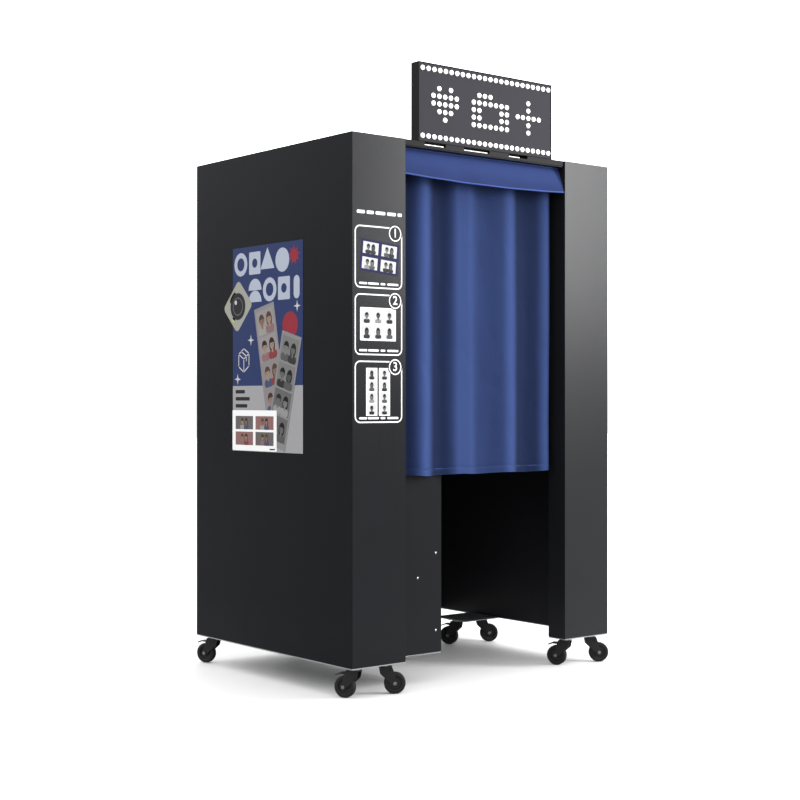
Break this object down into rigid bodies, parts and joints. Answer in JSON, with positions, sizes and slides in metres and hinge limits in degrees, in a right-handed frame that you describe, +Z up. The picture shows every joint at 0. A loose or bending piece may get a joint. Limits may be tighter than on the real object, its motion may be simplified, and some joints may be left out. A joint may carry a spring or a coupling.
{
  "type": "photo booth",
  "caption": "Curtained photo booth on casters, with an equipment cabinet, a side wall, a bulb sign, a touchscreen, a camera and a photo outlet.",
  "frame": {"origin": "on the floor, under the middle of the booth", "axes": "+Z up; -Y is the front, with the curtain; -X is the equipment cabinet's outer side; +Y is the rear with the service door"},
  "size_m": [1.2551, 1.0065, 2.188],
  "materials": {
    "charcoal_panel": "satin powder coat",
    "frame_steel": "matt primer",
    "zinc_plate": "zinc plated",
    "poster_print": "matt print",
    "sign_black": "satin black",
    "sign_face_grey": "matt",
    "bulb_white": "opal",
    "rail_aluminium": "anodised",
    "curtain_blue": "woven polyester",
    "valance_blue": "woven polyester",
    "glider_white": "moulded",
    "screen_glass": "glossy",
    "black_plastic": "fine texture",
    "window_glass": "clear",
    "light_diffuser": "opal",
    "printer_grey": "moulded",
    "computer_steel": "satin",
    "flap_clear": "smoked",
    "backdrop_dark": "matt",
    "lock_chrome": "polished",
    "fork_black": "satin",
    "wheel_rubber": "matt",
    "pedal_black": "moulded"
  },
  "bodies": {
    "booth": {"left_frame": "frame_steel", "right_frame": "frame_steel", "left_base_plate": "zinc_plate", "right_base_plate": "zinc_plate", "left_side_panel": "charcoal_panel", "left_front_panel": "charcoal_panel", "left_recess_panel": "charcoal_panel", "cabinet_face_panel": "charcoal_panel", "right_side_panel": "charcoal_panel", "right_inner_panel": "charcoal_panel", "right_front_panel": "charcoal_panel", "back_panel": "charcoal_panel", "backdrop_panel": "backdrop_dark", "roof_panel": "charcoal_panel", "header_beam": "charcoal_panel", "panel_screws": "zinc_plate", "poster": "poster_print", "sign_base": "sign_black", "sign_case": "sign_black", "sign_face": "sign_face_grey", "sign_bulbs": "bulb_white", "curtain_rail": "rail_aluminium", "curtain": "curtain_blue", "valance": "valance_blue", "touchscreen": "screen_glass", "camera_body": "black_plastic", "camera_window": "window_glass", "light_panels": "light_diffuser", "photo_printer": "printer_grey", "computer": "computer_steel", "outlet_surround": "black_plastic", "payment_unit": "black_plastic", "power_inlet": "black_plastic", "caster_plates": "zinc_plate"},
    "door": {"service_door": "charcoal_panel"},
    "lock": {"door_lock": "lock_chrome"},
    "flap": {"outlet_flap": "flap_clear"},
    "glider_1": {"curtain_glider_1": "glider_white"},
    "glider_2": {"curtain_glider_2": "glider_white"},
    "glider_3": {"curtain_glider_3": "glider_white"},
    "fork_1": {"caster_fork_1": "fork_black"},
    "wheel_1": {"caster_wheel_1": "wheel_rubber"},
    "pedal_1": {"brake_pedal_1": "pedal_black"},
    "fork_2": {"caster_fork_2": "fork_black"},
    "wheel_2": {"caster_wheel_2": "wheel_rubber"},
    "fork_3": {"caster_fork_3": "fork_black"},
    "wheel_3": {"caster_wheel_3": "wheel_rubber"},
    "pedal_3": {"brake_pedal_3": "pedal_black"},
    "fork_4": {"caster_fork_4": "fork_black"},
    "wheel_4": {"caster_wheel_4": "wheel_rubber"},
    "fork_5": {"caster_fork_5": "fork_black"},
    "wheel_5": {"caster_wheel_5": "wheel_rubber"},
    "pedal_5": {"brake_pedal_5": "pedal_black"},
    "fork_6": {"caster_fork_6": "fork_black"},
    "wheel_6": {"caster_wheel_6": "wheel_rubber"},
    "fork_7": {"caster_fork_7": "fork_black"},
    "wheel_7": {"caster_wheel_7": "wheel_rubber"},
    "pedal_7": {"brake_pedal_7": "pedal_black"},
    "fork_8": {"caster_fork_8": "fork_black"},
    "wheel_8": {"caster_wheel_8": "wheel_rubber"}
  },
  "joints": [
    {"name": "door_hinge", "type": "hinge", "parent": "booth", "child": "door", "pos_m": [-0.598, 0.485, 1.01], "axis": [0, 0, 1], "range_deg": [0, 105]},
    {"name": "lock_turn", "type": "hinge", "parent": "door", "child": "lock", "pos_m": [-0.19, 0.4875, 1.01], "axis": [0, -1, 0], "range_deg": [-90, 0]},
    {"name": "flap_hinge", "type": "hinge", "parent": "booth", "child": "flap", "pos_m": [-0.142, -0.136, 0.9135], "axis": [0, -1, 0], "range_deg": [0, 70]},
    {"name": "curtain_slide", "type": "slide", "parent": "booth", "child": "glider_1", "axis": [-1, 0, 0], "range_m": [0, 0.5357], "deforming": ["curtain"]},
    {"name": "glider_2_slide", "type": "slide", "parent": "booth", "child": "glider_2", "axis": [-1, 0, 0], "range_m": [0, 0.35713]},
    {"name": "glider_3_slide", "type": "slide", "parent": "booth", "child": "glider_3", "axis": [-1, 0, 0], "range_m": [0, 0.17857]},
    {"name": "swivel_1", "type": "hinge", "parent": "booth", "child": "fork_1", "pos_m": [-0.571, -0.4435, 0.094], "axis": [0, 0, 1], "continuous": true},
    {"name": "wheel_1_spin", "type": "hinge", "parent": "fork_1", "child": "wheel_1", "pos_m": [-0.58689, -0.41231, 0.0375], "axis": [-0.891, -0.454, 0], "continuous": true},
    {"name": "brake_1", "type": "hinge", "parent": "fork_1", "child": "pedal_1", "pos_m": [-0.57917, -0.42746, 0.0835], "axis": [-0.891, -0.454, 0], "range_deg": [0, 12]},
    {"name": "swivel_2", "type": "hinge", "parent": "booth", "child": "fork_2", "pos_m": [-0.441, -0.4435, 0.094], "axis": [0, 0, 1], "continuous": true},
    {"name": "wheel_2_spin", "type": "hinge", "parent": "fork_2", "child": "wheel_2", "pos_m": [-0.41305, -0.46456, 0.0375], "axis": [0.6018, 0.7986, 0], "continuous": true},
    {"name": "swivel_3", "type": "hinge", "parent": "booth", "child": "fork_3", "pos_m": [-0.571, 0.4435, 0.094], "axis": [0, 0, 1], "continuous": true},
    {"name": "wheel_3_spin", "type": "hinge", "parent": "fork_3", "child": "wheel_3", "pos_m": [-0.58689, 0.47469, 0.0375], "axis": [-0.891, -0.454, 0], "continuous": true},
    {"name": "brake_3", "type": "hinge", "parent": "fork_3", "child": "pedal_3", "pos_m": [-0.57917, 0.45954, 0.0835], "axis": [-0.891, -0.454, 0], "range_deg": [0, 12]},
    {"name": "swivel_4", "type": "hinge", "parent": "booth", "child": "fork_4", "pos_m": [-0.199, 0.4435, 0.094], "axis": [0, 0, 1], "continuous": true},
    {"name": "wheel_4_spin", "type": "hinge", "parent": "fork_4", "child": "wheel_4", "pos_m": [-0.17105, 0.42244, 0.0375], "axis": [0.6018, 0.7986, 0], "continuous": true},
    {"name": "swivel_5", "type": "hinge", "parent": "booth", "child": "fork_5", "pos_m": [0.441, -0.4435, 0.094], "axis": [0, 0, 1], "continuous": true},
    {"name": "wheel_5_spin", "type": "hinge", "parent": "fork_5", "child": "wheel_5", "pos_m": [0.42511, -0.41231, 0.0375], "axis": [-0.891, -0.454, 0], "continuous": true},
    {"name": "brake_5", "type": "hinge", "parent": "fork_5", "child": "pedal_5", "pos_m": [0.43283, -0.42746, 0.0835], "axis": [-0.891, -0.454, 0], "range_deg": [0, 12]},
    {"name": "swivel_6", "type": "hinge", "parent": "booth", "child": "fork_6", "pos_m": [0.571, -0.4435, 0.094], "axis": [0, 0, 1], "continuous": true},
    {"name": "wheel_6_spin", "type": "hinge", "parent": "fork_6", "child": "wheel_6", "pos_m": [0.59895, -0.46456, 0.0375], "axis": [0.6018, 0.7986, 0], "continuous": true},
    {"name": "swivel_7", "type": "hinge", "parent": "booth", "child": "fork_7", "pos_m": [0.441, 0.1825, 0.094], "axis": [0, 0, 1], "continuous": true},
    {"name": "wheel_7_spin", "type": "hinge", "parent": "fork_7", "child": "wheel_7", "pos_m": [0.42511, 0.21369, 0.0375], "axis": [-0.891, -0.454, 0], "continuous": true},
    {"name": "brake_7", "type": "hinge", "parent": "fork_7", "child": "pedal_7", "pos_m": [0.43283, 0.19854, 0.0835], "axis": [-0.891, -0.454, 0], "range_deg": [0, 12]},
    {"name": "swivel_8", "type": "hinge", "parent": "booth", "child": "fork_8", "pos_m": [0.571, 0.1825, 0.094], "axis": [0, 0, 1], "continuous": true},
    {"name": "wheel_8_spin", "type": "hinge", "parent": "fork_8", "child": "wheel_8", "pos_m": [0.59895, 0.16144, 0.0375], "axis": [0.6018, 0.7986, 0], "continuous": true}
  ],
  "couplings": [
    {"joint": "glider_2_slide", "follows": "curtain_slide", "ratio": 0.66667},
    {"joint": "glider_3_slide", "follows": "curtain_slide", "ratio": 0.33333}
  ]
}
